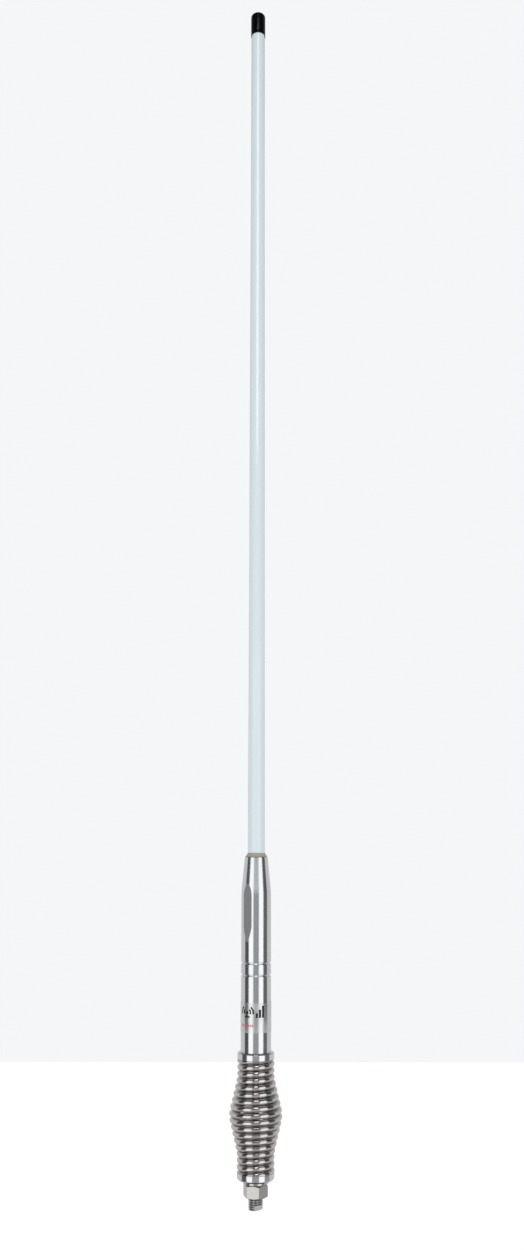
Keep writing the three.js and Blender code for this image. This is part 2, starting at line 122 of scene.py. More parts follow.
class AntennaColours(bpy.types.PropertyGroup):
    radome: colour("Radome", "Gel coat of the fibreglass tube", "#D9E5E9")
    cap: colour("Cap", "Dip-moulded vinyl of the tip cap", "#050505")
    sealant: colour("Sealant", "Hand-run fillet at the ferrule's mouth", "#A9A89C")
    steel: colour("Polished steel", "Ferrule and collars", "#DADDDF")
    milled: colour("Milled steel", "Spanner flats", "#B9BEBE")
    spring: colour("Spring steel", "Polished spring wire", "#D3CFCF")
    nut: colour("Nut steel", "Nut, washer and stud", "#C8C7C3")
    foil: colour("Label foil", "Silver foil of the label", "#D9DADB")
    ink: colour("Label ink", "Dark print on the label", "#17151C")
    tick: colour("Label ticks", "Red print on the label", "#C8463E")


class AntennaStage(bpy.types.PropertyGroup):
    distance: length("Camera distance", "From the camera to the antenna's axis", 1005.0)
    height: length("Camera height", "Camera above the bracket seat", 269.7)
    aside: length("Camera offset", "Camera to the right of the antenna's axis", 4.6)
    tilt: bpy.props.FloatProperty(
        name="Camera tilt", description="How far the camera looks up",
        default=math.radians(10.8), subtype="ANGLE")
    roll: bpy.props.FloatProperty(
        name="Camera roll", description="Turn of the picture", default=math.radians(0.08),
        subtype="ANGLE")
    lens: bpy.props.FloatProperty(
        name="Lens", description="Focal length on a 36 mm frame", default=32.98)
    floor_back: length("Floor depth", "How far the floor runs behind the antenna", 733.0)
    floor_drop: length("Floor drop", "Floor below the stud's end, clear of the nut", 17.0)
    backdrop: colour("Backdrop", "Colour behind the antenna", "#F4F6F8")
    fill: bpy.props.FloatProperty(
        name="Fill level", description="Even light on matt and glossy plastics", default=0.81)
    softbox: bpy.props.FloatProperty(
        name="Softbox power", description="Watts of each tall softbox", default=0.72)
    front: bpy.props.FloatProperty(
        name="Front fill power", description="Watts of the soft light in front", default=2.5)
    strip: bpy.props.FloatProperty(
        name="Strip power", description="Watts of the strip light overhead", default=2.5)


# ---- mesh helpers ----

def lathe(profile, steps, closed=True):
    """Turns [radius, height] points in mm round the antenna's axis into a closed solid."""
    bm = bmesh.new()
    points = [bm.verts.new((r * MM, 0.0, z * MM)) for r, z in profile]
    edges = [bm.edges.new(pair) for pair in zip(points, points[1:])]
    if closed:
        edges.append(bm.edges.new((points[-1], points[0])))
    bmesh.ops.spin(bm, geom=points + edges, cent=(0, 0, 0), axis=(0, 0, 1),
                   angle=2 * math.pi, steps=steps, use_merge=True)
    weld(bm)
    return bm


def weld(bm):
    """Merges doubled points and turns all faces outwards."""
    bmesh.ops.remove_doubles(bm, verts=bm.verts, dist=1e-7)
    flat = [f for f in bm.faces if f.calc_area() < 1e-15]
    bmesh.ops.delete(bm, geom=flat, context="FACES_ONLY")
    bmesh.ops.recalc_face_normals(bm, faces=bm.faces)


def soften(bm, width, segments=3, least=25.0):
    """Breaks every edge sharper than an angle to a small radius."""
    sharp = [e for e in bm.edges
             if len(e.link_faces) == 2 and e.calc_face_angle(0) > math.radians(least)]
    bmesh.ops.bevel(bm, geom=sharp, offset=width * MM, offset_type="OFFSET", segments=segments,
                    profile=0.5, affect="EDGES", material=-1, clamp_overlap=True)
    bmesh.ops.recalc_face_normals(bm, faces=bm.faces)


def fill_open(bm):
    """Closes every open rim with a face."""
    rims = [e for e in bm.edges if len(e.link_faces) == 1]
    bmesh.ops.holes_fill(bm, edges=rims, sides=0)
    bmesh.ops.recalc_face_normals(bm, faces=bm.faces)


def cut(bm, point, normal):
    """Cuts away what lies beyond a plane and closes the cut."""
    bmesh.ops.bisect_plane(bm, geom=bm.verts[:] + bm.edges[:] + bm.faces[:],
                           dist=1e-8, plane_co=[c * MM for c in point], plane_no=normal,
                           clear_outer=True)
    fill_open(bm)


def to_object(name, bm, sharp=35.0):
    """A mesh object of a bmesh, shaded smooth except at edges past an angle."""
    for face in bm.faces:
        face.smooth = True
    for edge in bm.edges:
        edge.smooth = edge.calc_face_angle(0) < math.radians(sharp)
    mesh = bpy.data.meshes.new(name)
    bm.to_mesh(mesh)
    bm.free()
    piece = bpy.data.objects.new(name, mesh)
    bpy.context.scene.collection.objects.link(piece)
    return piece


def carve(bm, cutters):
    """The bmesh with each cutter's solid taken away."""
    body = to_object("carving", bm)
    tools = [to_object("carving_cutter", c) for c in cutters]
    for tool in tools:
        step = body.modifiers.new("carve", "BOOLEAN")
        step.operation = "DIFFERENCE"
        step.solver = "EXACT"
        step.object = tool
    graph = bpy.context.evaluated_depsgraph_get()
    carved = bmesh.new()
    carved.from_object(body, graph)
    for part in [body, *tools]:
        mesh = part.data
        bpy.data.objects.remove(part)
        bpy.data.meshes.remove(mesh)
    return carved


def even_shading(piece):
    """Lets the broad faces set the shading, so that reflections run straight over them."""
    step = piece.modifiers.new("even_shading", "WEIGHTED_NORMAL")
    step.mode = "FACE_AREA"
    step.weight = 50
    step.keep_sharp = True


def place(piece, materials, body, nodes):
    """Gives a piece its materials, hangs it on its body when the body is given by name (else only
    bakes its transform), and hides its CAD nodes.
    """
    for material in materials:
        piece.data.materials.append(material)
    if isinstance(body, str):
        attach(piece, body)
    else:
        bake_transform(piece)
    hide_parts(*nodes)


def ring_points(inner, outer, bottom, top):
    return [(inner, bottom), (outer, bottom), (outer, top), (inner, top)]


# ---- materials ----

def put(tree, kind, inputs=(), **settings):
    """Adds a node, sets it up and fills or links its inputs."""
    made = tree.nodes.new(kind)
    for name, value in settings.items():
        setattr(made, name, value)
    for key, value in dict(inputs).items():
        if isinstance(value, bpy.types.NodeSocket):
            tree.links.new(value, made.inputs[key])
        else:
            made.inputs[key].default_value = value
    return made


def new_material(name, rgb, roughness, metallic=0.0, **sockets):
    """A material whose constants sit on the shader's own sockets."""
    if name in bpy.data.materials:
        return bpy.data.materials[name], None, None
    made = bpy.data.materials.new(name)
    made.use_nodes = True
    shader = made.node_tree.nodes["Principled BSDF"]
    shader.inputs["Base Color"].default_value = (*rgb, 1.0)
    shader.inputs["Roughness"].default_value = roughness
    shader.inputs["Metallic"].default_value = metallic
    for socket, value in sockets.items():
        shader.inputs[socket.replace("_", " ")].default_value = value
    made.diffuse_color = (*rgb, 1.0)
    return made, made.node_tree, shader


def stretched_noise(tree, around, along, detail=2.0, seed=0.0):
    """Noise in the object's own space, with grain sizes in mm round and along the antenna."""
    coords = put(tree, "ShaderNodeTexCoord")
    scale = (1 / (around * MM), 1 / (around * MM), 1 / (along * MM))
    mapped = put(tree, "ShaderNodeMapping",
                 {"Vector": coords.outputs["Object"], "Scale": scale,
                  "Location": (seed, seed, seed)})
    return put(tree, "ShaderNodeTexNoise",
               {"Vector": mapped.outputs["Vector"], "Scale": 1.0, "Detail": detail})


def vary(tree, shader, socket, noise, low, high):
    """Lets a noise move one of the shader's inputs between two values."""
    ranged = put(tree, "ShaderNodeMapRange",
                 {"Value": noise.outputs["Fac"], "From Min": 0.3, "From Max": 0.7,
                  "To Min": low, "To Max": high})
    tree.links.new(ranged.outputs["Result"], shader.inputs[socket])


def tint(tree, shader, factor, first, second):
    """Mixes two colours into the shader's base colour."""
    mixed = put(tree, "ShaderNodeMix", {"Factor": factor}, data_type="RGBA")
    mixed.inputs["A"].default_value = (*first, 1.0)
    mixed.inputs["B"].default_value = (*second, 1.0)
    tree.links.new(mixed.outputs["Result"], shader.inputs["Base Color"])
    return mixed


def bump(tree, shader, height, depth, strength=1.0):
    """Raises the surface by a depth in mm where the height input is high."""
    raised = put(tree, "ShaderNodeBump",
                 {"Height": height, "Distance": depth * MM, "Strength": strength})
    tree.links.new(raised.outputs["Normal"], shader.inputs["Normal"])


def shade(rgb, share):
    return tuple(c * share for c in rgb)


def polished_stainless(rgb):
    """Stainless bar, turned then buffed: near-mirror, with faint lathe lines round the bar."""
    made, tree, shader = new_material("polished_stainless", rgb, 0.13, 1.0)
    if tree:
        smudges = stretched_noise(tree, 14.0, 22.0, seed=3.0)
        vary(tree, shader, "Roughness", smudges, 0.11, 0.16)
        # lathe lines about 0.3 mm apart
        lines = stretched_noise(tree, 40.0, 0.3)
        bump(tree, shader, lines.outputs["Fac"], 0.002, 0.5)
    return made


def milled_stainless(rgb):
    """The same bar left as milled: the cutter's fine marks scatter light to a soft grey."""
    made, tree, shader = new_material("milled_stainless", rgb, 0.5, 1.0)
    if tree:
        marks = stretched_noise(tree, 30.0, 0.45, seed=8.0)
        tint(tree, shader, marks.outputs["Fac"], shade(rgb, 0.88), rgb)
        bump(tree, shader, marks.outputs["Fac"], 0.006, 0.8)
    return made


def spring_wire(rgb):
    """Drawn spring wire, buffed after winding: bright, slightly warm, with lines along the wire."""
    made, tree, shader = new_material("buffed_spring_wire", rgb, 0.12, 1.0)
    if tree:
        patches = stretched_noise(tree, 9.0, 9.0, seed=5.0)
        vary(tree, shader, "Roughness", patches, 0.1, 0.15)
        tint(tree, shader, patches.outputs["Fac"], shade(rgb, 0.9), rgb)
        lines = stretched_noise(tree, 25.0, 0.35, seed=1.0)
        bump(tree, shader, lines.outputs["Fac"], 0.003, 0.5)
    return made


def cold_formed_steel(rgb):
    """Cold-formed stainless fastener: satin faces with a fine even grain."""
    made, tree, shader = new_material("cold_formed_stainless", rgb, 0.25, 1.0)
    if tree:
        grain = stretched_noise(tree, 1.5, 1.5, detail=3.0)
        vary(tree, shader, "Roughness", grain, 0.22, 0.28)
        tint(tree, shader, grain.outputs["Fac"], shade(rgb, 0.95), rgb)
        bump(tree, shader, grain.outputs["Fac"], 0.003, 0.4)
    return made


def thread_with_painted_root_shade(rgb, root, crest):
    """Rolled thread with painted shade in its roots: the base colour darkens towards the roots and
    keeps its full value on the crests.
    """
    made, tree, shader = new_material("thread_with_painted_root_shade", rgb, 0.3, 1.0)
    if tree:
        coords = put(tree, "ShaderNodeTexCoord")
        flat = put(tree, "ShaderNodeVectorMath",
                   {0: coords.outputs["Object"], 1: (1.0, 1.0, 0.0)}, operation="MULTIPLY")
        reach = put(tree, "ShaderNodeVectorMath", {0: flat.outputs[0]}, operation="LENGTH")
        rise = put(tree, "ShaderNodeMapRange",
                   {"Value": reach.outputs["Value"], "From Min": root * MM,
                    "From Max": crest * MM})
        # painted shade: the colour runs from 60 % at the thread's root to full at its crest
        tint(tree, shader, rise.outputs["Result"], shade(rgb, 0.6), rgb)
        grain = stretched_noise(tree, 1.2, 0.3)
        vary(tree, shader, "Roughness", grain, 0.22, 0.38)
    return made


def gel_coated_fibreglass(rgb):
    """Pultruded fibreglass under white gel coat: glossy, cool white, with faint glass fibres
    running along the tube."""
    made, tree, shader = new_material(
        "gel_coated_fibreglass", rgb, 0.15, IOR=1.5, Subsurface_Weight=0.08,
        Subsurface_Scale=0.002)
    if tree:
        shader.inputs["Subsurface Radius"].default_value = (0.8, 1.0, 1.0)
        # the real fibres are 0.02 mm; drawn at 0.5 mm so that they can show
        fibres = stretched_noise(tree, 0.5, 60.0, detail=3.0)
        tint(tree, shader, fibres.outputs["Fac"], shade(rgb, 0.955), rgb)
        patches = stretched_noise(tree, 12.0, 60.0, seed=4.0)
        vary(tree, shader, "Roughness", patches, 0.12, 0.19)
        bump(tree, shader, fibres.outputs["Fac"], 0.004, 0.5)
    return made


def dipped_vinyl(rgb):
    """Dip-moulded vinyl: deep black gloss with a slight orange peel."""
    made, tree, shader = new_material("dipped_vinyl", rgb, 0.13, IOR=1.48)
    if tree:
        peel = stretched_noise(tree, 1.4, 1.4)
        bump(tree, shader, peel.outputs["Fac"], 0.03, 0.5)
        wear = stretched_noise(tree, 6.0, 6.0, seed=2.0)
        vary(tree, shader, "Roughness", wear, 0.1, 0.17)
        tint(tree, shader, wear.outputs["Fac"], rgb, shade(rgb, 1.8))
    return made


def tooled_sealant(rgb):
    """Polyurethane sealant smoothed with a finger: dull, slightly translucent, a little lumpy."""
    made, tree, shader = new_material(
        "tooled_sealant", rgb, 0.5, IOR=1.48, Subsurface_Weight=0.15, Subsurface_Scale=0.0015)
    if tree:
        lumps = stretched_noise(tree, 1.6, 1.0, detail=3.0)
        tint(tree, shader, lumps.outputs["Fac"], shade(rgb, 0.8), rgb)
        bump(tree, shader, lumps.outputs["Fac"], 0.06, 0.6)
    return made


def plain_plastic(name, rgb, roughness, grain=0.8):
    """Machined or moulded plastic: even colour with a fine matte grain."""
    made, tree, shader = new_material(name, rgb, roughness, IOR=1.5)
    if tree:
        specks = stretched_noise(tree, grain, grain, detail=3.0)
        tint(tree, shader, specks.outputs["Fac"], shade(rgb, 0.9), rgb)
        bump(tree, shader, specks.outputs["Fac"], 0.01, 0.4)
    return made


def drawn_metal(name, rgb, roughness, along=30.0):
    """Drawn or turned brass or copper: soft shine with fine lines along its length."""
    made, tree, shader = new_material(name, rgb, roughness, 1.0)
    if tree:
        lines = stretched_noise(tree, 0.3, along)
        tint(tree, shader, lines.outputs["Fac"], shade(rgb, 0.82), rgb)
        vary(tree, shader, "Roughness", lines, roughness * 0.8, roughness * 1.2)
        bump(tree, shader, lines.outputs["Fac"], 0.003, 0.5)
    return made


def woven_braid(rgb):
    """Copper shield braid: crossing strands at 0.5 mm spacing."""
    made, tree, shader = new_material("woven_braid", rgb, 0.35, 1.0)
    if tree:
        coords = put(tree, "ShaderNodeTexCoord")
        strands = put(tree, "ShaderNodeTexMagic",
                      {"Vector": coords.outputs["Object"], "Scale": 2000.0, "Distortion": 1.0},
                      turbulence_depth=1)
        tint(tree, shader, strands.outputs["Fac"], shade(rgb, 0.4), rgb)
        bump(tree, shader, strands.outputs["Fac"], 0.05, 0.6)
    return made


# ---- label artwork: a mast with signal arcs, rising bars and a row of ticks ----

def combine(tree, operation, first, *rest):
    """Runs one arithmetic operation over several values, from left to right."""
    total = first
    for value in rest:
        total = put(tree, "ShaderNodeMath", {0: total, 1: value}, operation=operation).outputs[0]
    return total


def alone(tree, operation, value):
    """Runs an arithmetic operation that takes one value."""
    return put(tree, "ShaderNodeMath", {0: value}, operation=operation).outputs[0]


def within(tree, value, low, high):
    """1 where a value lies between two limits, else 0."""
    above = combine(tree, "GREATER_THAN", value, low)
    below = combine(tree, "LESS_THAN", value, high)
    return combine(tree, "MULTIPLY", above, below)


def label_axes(tree, radius, centre_angle, centre_z):
    """Millimetres round and up the label from its artwork's centre."""
    coords = put(tree, "ShaderNodeTexCoord")
    turned = put(tree, "ShaderNodeMapping",
                 {"Vector": coords.outputs["Object"],
                  "Rotation": (0.0, 0.0, -centre_angle)})
    parts = put(tree, "ShaderNodeSeparateXYZ", {0: turned.outputs["Vector"]})
    angle = combine(tree, "ARCTAN2", parts.outputs["Y"], parts.outputs["X"])
    across = combine(tree, "MULTIPLY", angle, radius)
    height = combine(tree, "SUBTRACT", combine(tree, "DIVIDE", parts.outputs["Z"], MM), centre_z)
    return across, height


def signal_mark(tree, across, height):
    """A mast with two arcs on either side."""
    side = alone(tree, "ABSOLUTE", across)
    up = combine(tree, "SUBTRACT", height, -1.0)
    squares = combine(tree, "ADD", combine(tree, "MULTIPLY", across, across),
                      combine(tree, "MULTIPLY", up, up))
    reach = alone(tree, "SQRT", squares)
    ripple = combine(tree, "MODULO", combine(tree, "SUBTRACT", reach, 2.5), 2.4)
    arcs = combine(tree, "MULTIPLY", within(tree, ripple, 0.0, 1.35),
                   within(tree, reach, 2.5, 6.3),
                   combine(tree, "GREATER_THAN", side, combine(tree, "MULTIPLY", up, 0.8)),
                   combine(tree, "GREATER_THAN", up, -1.2))
    dot = combine(tree, "LESS_THAN", reach, 1.4)
    mast = combine(tree, "MULTIPLY", within(tree, side, -1.0, 0.65),
                   within(tree, height, -5.0, -1.0))
    foot = combine(tree, "MULTIPLY", within(tree, side, -1.0, 2.6),
                   within(tree, height, -5.0, -3.7))
    return combine(tree, "MAXIMUM", arcs, dot, mast, foot)


def rising_bars(tree, across, height):
    """Three bars, each taller than the last."""
    position = combine(tree, "DIVIDE", across, 2.7)
    count = alone(tree, "FLOOR", position)
    share = alone(tree, "FRACT", position)
    top = combine(tree, "ADD", combine(tree, "MULTIPLY", count, 3.0), -1.4)
    return combine(tree, "MULTIPLY", within(tree, share, 0.0, 0.7),
                   within(tree, count, -0.5, 2.5), combine(tree, "LESS_THAN", height, top),
                   combine(tree, "GREATER_THAN", height, -5.0))


def printed_foil(foil, ink, tick, radius, middle):
    """Silver polyester foil, satin, with generic marks printed in dark and red ink."""
    made, tree, shader = new_material("printed_foil", foil, 0.23, 0.9)
    if not tree:
        return made
    across, height = label_axes(tree, radius, math.radians(-106.0), middle)
    upper = combine(tree, "SUBTRACT", height, 5.2)
    mark = signal_mark(tree, combine(tree, "ADD", across, 4.2), upper)
    bars = rising_bars(tree, combine(tree, "SUBTRACT", across, 3.4), upper)
    dark = combine(tree, "MAXIMUM", mark, bars)
    step = alone(tree, "FRACT", combine(tree, "DIVIDE", across, 1.7))
    ticks = combine(tree, "MULTIPLY", within(tree, step, 0.0, 0.55),
                    within(tree, height, -7.2, -5.2), within(tree, across, -10.2, 1.7))
    with_ink = tint(tree, shader, dark, foil, ink)
    both = put(tree, "ShaderNodeMix", {"Factor": ticks}, data_type="RGBA")
    tree.links.new(with_ink.outputs["Result"], both.inputs["A"])
    both.inputs["B"].default_value = (*tick, 1.0)
    tree.links.new(both.outputs["Result"], shader.inputs["Base Color"])
    printed = combine(tree, "MAXIMUM", dark, ticks)
    metal = combine(tree, "MULTIPLY", combine(tree, "SUBTRACT", 1.0, printed), 0.9)
    tree.links.new(metal, shader.inputs["Metallic"])
    matt = put(tree, "ShaderNodeMapRange", {"Value": printed, "To Min": 0.23, "To Max": 0.7})
    tree.links.new(matt.outputs["Result"], shader.inputs["Roughness"])
    grain = stretched_noise(tree, 18.0, 0.5)
    bump(tree, shader, grain.outputs["Fac"], 0.004, 0.5)
    return made


# ---- operators, one for each piece or group of like pieces ----

class PieceOperator:
    bl_options = {"REGISTER", "UNDO"}

    def execute(self, context):
        self.make(context.scene.antenna_sizes, context.scene.antenna_colours)
        return {"FINISHED"}


class ANTENNA_OT_tip_cap(PieceOperator, bpy.types.Operator):
    """Dip-moulded cap with a domed end and a rolled rim"""
    bl_idname = "antenna.tip_cap"
    bl_label = "Tip cap"

    def make(self, sizes, colours):
        radius = radii("tip_cap")[1]
        rim, top = span("tip_cap")
        bore, inner_top, corner = 6.5, span("radome")[1] + 1.2, 3.2
        skin = radius - 0.1
        profile = [(0.0, inner_top), (bore, inner_top), (bore, rim + 0.2), (bore + 0.1, rim)]
        profile += [(radius - 0.15, rim), (radius, rim + 0.2), (radius, rim + 1.2)]
        profile += [(skin + 0.03, rim + 2.0), (skin, rim + 3.0)]
        for i in range(17):
            turn = math.pi / 2 * i / 16
            profile.append((skin - corner + corner * math.cos(turn),
                            top - corner + corner * math.sin(turn)))
        profile.append((0.0, top))
        piece = to_object("tip_cap_skin", lathe(profile, 96, closed=False))
        place(piece, [dipped_vinyl(colours.cap)], "whip", ["tip_cap"])


class ANTENNA_OT_radome(PieceOperator, bpy.types.Operator):
    """Tapered fibreglass tube"""
    bl_idname = "antenna.radome"
    bl_label = "Radome"

    wall = 1.9
    taper = 0.89 / 794.6     # radius lost in one mm of height

    def make(self, sizes, colours):
        bottom, top = span("radome")
        wide = radii("radome")[1]
        slim = wide - self.taper * (top - bottom)
        bm = lathe([(wide - self.wall, bottom), (wide, bottom), (slim, top),
                    (slim - self.wall, top)], 96)
        upright = [e for e in bm.edges if abs(e.verts[0].co.z - e.verts[1].co.z) > 0.1]
        bmesh.ops.subdivide_edges(bm, edges=upright, cuts=30, use_grid_fill=True)
        piece = to_object("radome_tube", bm)
        place(piece, [gel_coated_fibreglass(colours.radome)], "whip", ["radome"])


class ANTENNA_OT_sealant(PieceOperator, bpy.types.Operator):
    """Hand-run fillet of sealant, slightly uneven"""
    bl_idname = "antenna.sealant"
    bl_label = "Sealant bead"

    def make(self, sizes, colours):
        bore, outer = radii("sealant_bead")
        bottom, top = span("sealant_bead")
        seat = span("ferrule")[1] + 0.1
        plug = radii("potting_sleeve")[1]
        profile = [(bore, bottom), (plug, bottom), (plug, seat), (outer - 0.15, seat)]
        for i in range(13):
            share = i / 12
            curve = (1 - share) ** 1.7
            profile.append((bore + 0.12 + (outer - bore - 0.12) * curve,
                            seat + 0.25 + (top - seat - 0.25) * share))
        profile.append((bore, top))
        bm = lathe(profile, 120)
        for v in bm.verts:
            turn = math.atan2(v.co.y, v.co.x)
            if v.co.z / MM > seat + 0.2 and math.hypot(v.co.x, v.co.y) / MM > bore + 0.05:
                uneven = 0.10 * math.sin(3 * turn + 0.7) + 0.06 * math.sin(7 * turn + 2.0)
                v.co.z += uneven * MM * (v.co.z / MM - seat) / (top - seat)
                out = 1 + 0.006 * math.sin(5 * turn + 1.1)
                v.co.x *= out
                v.co.y *= out
        piece = to_object("sealant_fillet", bm, sharp=60.0)
        place(piece, [tooled_sealant(colours.sealant)], "whip", ["sealant_bead"])


class ANTENNA_OT_ferrule(PieceOperator, bpy.types.Operator):
    """Turned ferrule with a conical nose, two grooves and two milled spanner flats"""
    bl_idname = "antenna.ferrule"
    bl_label = "Ferrule"

    grooves = (161.1, 170.8)
    cone_start = 229.0
    mouth = 9.8
    bore = 8.9
    chamber_bottom = 113.5
    flats = 24.0
    flat_bottom = 187.2
    runout = 13.0
    flat_angle = math.radians(-126.6)

    def outline(self, sizes):
        radius = radii("ferrule")[1]
        bottom, top = span("upper_collar")[1] + 0.05, span("ferrule")[1]
        socket = radii("coupling_stud")[1] + 0.15
        points = [(socket, bottom), (radius - 0.2, bottom), (radius, bottom + 0.2)]
        half = sizes.groove_width / MM / 2
        for middle in self.grooves:
            for i in range(13):
                turn = math.pi * i / 12
                points.append((radius - sizes.groove_depth / MM * math.sin(turn) ** 0.8,
                               middle - half * math.cos(turn)))
        # the shoulder between cylinder and cone is a soft curve
        slope = (radius - self.mouth - 0.12) / (top - 0.9 - self.cone_start)
        soft = 4.0
        for i in range(13):
            along = soft * (2 * i / 12 - 1)
            drop = slope * (along + soft) ** 2 / (4 * soft)
            points.append((radius - drop, self.cone_start + along))
        points.append((self.mouth + 0.12, top - 0.9))
        points += [(self.mouth, top - 0.25), (self.mouth - 0.3, top), (self.bore, top)]
        points += [(self.bore, self.chamber_bottom), (socket, self.chamber_bottom)]
        return points

    def run_out(self, radius, share):
        """Depth of the cut a share of the way along the run-out."""
        return (radius - self.flats / 2) * share ** 1.4

    def flat_cutter(self, radius, top, angle):
        flat = self.flats / 2
        bm = bmesh.new()
        outline = []
        for i in range(11):
            share = i / 10
            outline.append((radius - self.run_out(radius, share),
                            self.flat_bottom + self.runout * share))
        outline += [(flat, top + 2), (radius + 5, top + 2), (radius + 5, self.flat_bottom)]
        corners = [bm.verts.new((r * MM, -radius * MM, z * MM)) for r, z in outline]
        face = bm.faces.new(corners)
        grown = bmesh.ops.extrude_face_region(bm, geom=[face])
        moved = [g for g in grown["geom"] if isinstance(g, bmesh.types.BMVert)]
        bmesh.ops.translate(bm, verts=moved, vec=(0, 2 * radius * MM, 0))
        bmesh.ops.recalc_face_normals(bm, faces=bm.faces)
        bmesh.ops.rotate(bm, verts=bm.verts, cent=(0, 0, 0),
                         matrix=Matrix.Rotation(angle, 3, "Z"))
        return bm

    def make(self, sizes, colours):
        radius = radii("ferrule")[1]
        top = span("ferrule")[1]
        body = lathe(self.outline(sizes), 240)
        cutters = [self.flat_cutter(radius, top, self.flat_angle + half * math.pi)
                   for half in range(2)]
        bm = carve(body, cutters)
        facing = Vector((math.cos(self.flat_angle), math.sin(self.flat_angle), 0))
        for face in bm.faces:
            middle = face.calc_center_median()
            on_flat = abs(abs(middle.dot(facing)) / MM - self.flats / 2) < 0.7
            lean = abs(face.normal.dot(facing))
            wide = face.calc_area() > 3e-6 or face.normal.cross(facing).length < 0.15
            if on_flat and lean > 0.985 and wide and middle.z / MM > self.flat_bottom:
                reach = math.hypot(middle.x, middle.y) / MM
                face.material_index = int(reach < radius - 0.02 and self.is_milled(middle, facing))
        piece = to_object("ferrule_turned", bm, sharp=5.0)
        place(piece, [polished_stainless(colours.steel), milled_stainless(colours.milled)],
              "whip", ["ferrule"])

    def is_milled(self, middle, facing):
        """Whether a face's centre lies on a milled flat or its run-out."""
        share = min(1.0, (middle.z / MM - self.flat_bottom) / self.runout)
        radius = radii("ferrule")[1]
        depth = self.run_out(radius, share)
        return abs(abs(middle.dot(facing)) / MM - (radius - depth)) < 0.03


class ANTENNA_OT_label(PieceOperator, bpy.types.Operator):
    """Foil label wrapped round the ferrule"""
    bl_idname = "antenna.label"
    bl_label = "Label"

    def make(self, sizes, colours):
        inner, outer = radii("ferrule_label")
        bottom, top = span("ferrule_label")
        bm = lathe(ring_points(inner, outer, bottom, top), 192)
        soften(bm, 0.03, segments=2)
        piece = to_object("foil_label", bm)
        middle = (bottom + top) / 2
        foil = printed_foil(colours.foil, colours.ink, colours.tick, outer, middle)
        place(piece, [foil], "whip", ["ferrule_label"])


class ANTENNA_OT_collars(PieceOperator, bpy.types.Operator):
    """The two polished collars that the spring is seated on"""
    bl_idname = "antenna.collars"
    bl_label = "Collars"

    spigot = 10.2
    relief = 10.9            # the underside is relieved inside this radius

    def make(self, sizes, colours):
        steel = polished_stainless(colours.steel)
        edge, outer = sizes.edge / MM, sizes.collar_edge / MM
        radius = radii("lower_collar")[1]
        spigot, cable = self.spigot, radii("base_stud")[0]
        bottom, top = span("lower_collar")
        thread = radii("base_stud")[1] + 0.15
        lower = [(thread, bottom + 0.2), (self.relief, bottom + 0.2), (self.relief, bottom)]
        lower += [(radius - 1.4 * outer, bottom), (radius, bottom + 1.4 * outer),
                  (radius, SPRING_BOTTOM),
                  (spigot, SPRING_BOTTOM), (spigot, top), (cable, top),
                  (cable, STUD_TOP + 0.3), (thread, STUD_TOP + 0.3)]
        self.collar("lower_collar", lower, edge, steel, "base")
        bottom, top = span("upper_collar")
        thread = radii("coupling_stud")[1] + 0.15
        seat = span("coupling_stud")[0] - 0.3
        upper = [(cable, bottom), (spigot, bottom), (spigot, SPRING_TOP), (radius, SPRING_TOP),
                 (radius, top - outer), (radius - outer, top), (thread, top), (thread, seat),
                 (cable, seat)]
        self.collar("upper_collar", upper, edge, steel, "whip")

    def collar(self, node, profile, edge, steel, body):
        bm = lathe(profile, 192)
        soften(bm, edge, least=30.0)
        piece = to_object(f"{node}_turned", bm)
        even_shading(piece)
        place(piece, [steel], body, [node])


